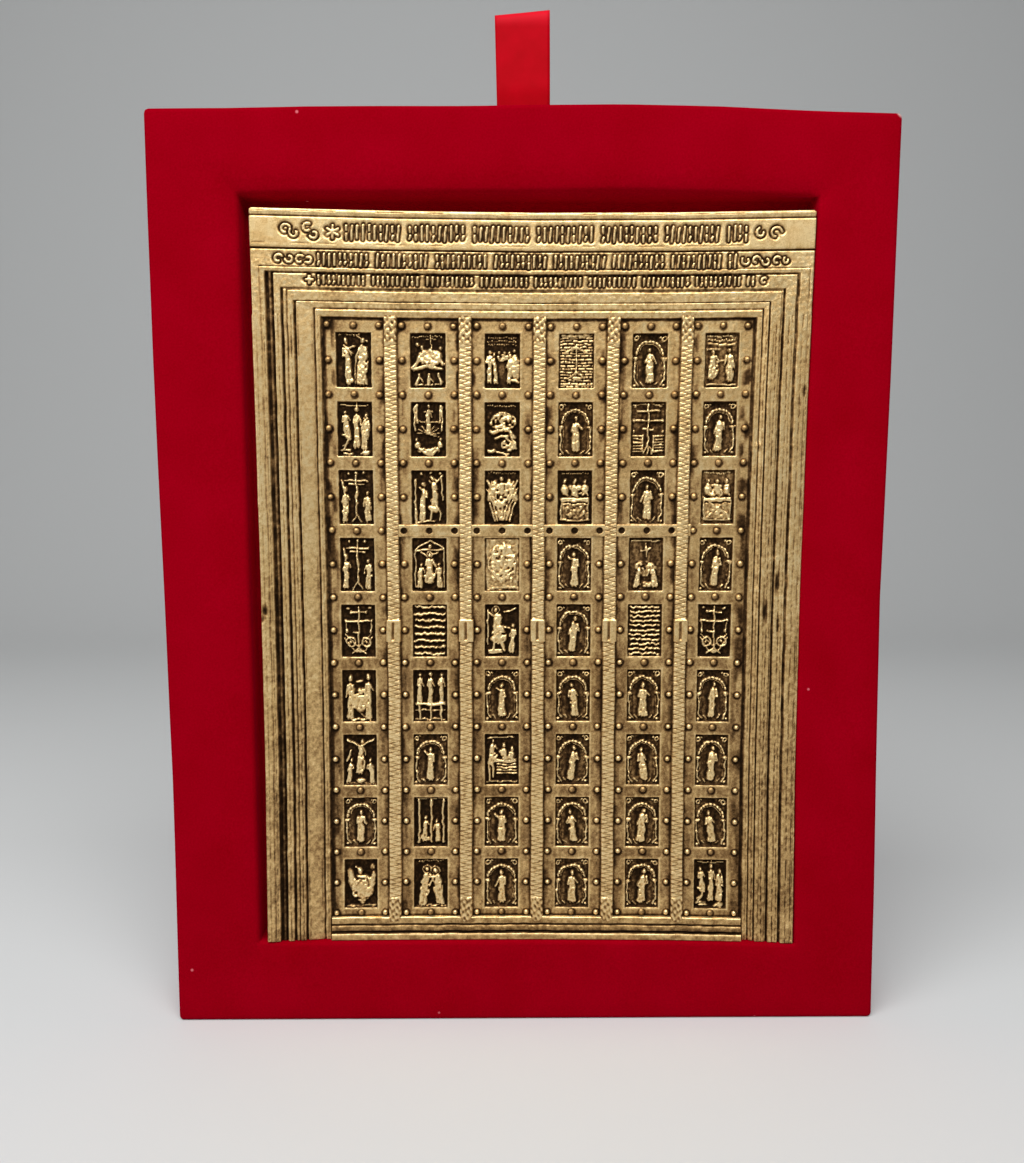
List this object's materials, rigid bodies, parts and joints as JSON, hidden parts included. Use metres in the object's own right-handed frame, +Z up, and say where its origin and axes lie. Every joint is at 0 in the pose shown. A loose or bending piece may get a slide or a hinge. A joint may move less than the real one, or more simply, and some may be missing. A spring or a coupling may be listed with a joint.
{
  "type": "relief plaque on a velvet board",
  "caption": "Small cast brass relief of a panelled, studded door in a stepped surround, set in the recess of an upright velvet-covered board with a ribbon loop.",
  "frame": {"origin": "under the middle of the board's lower edge, on the surface it stands on", "axes": "+Z up along the board's height, the longest extent; +X to the right of someone looking at the relief; the relief faces -Y, so +Y runs back through the board's thickness, the shortest extent"},
  "size_m": [0.138, 0.02, 0.1949],
  "materials": {
    "velvet": "crimson velvet with a soft bright rim and a few specks of lint",
    "antique_brass": "cast brass, bright on the high parts, with near-black brown patina in the hollows",
    "satin": "red satin ribbon"
  },
  "bodies": {
    "root": {"velvet_board": "velvet", "door_relief_plaque": "antique_brass", "ribbon_loop": "satin"}
  },
  "joints": []
}
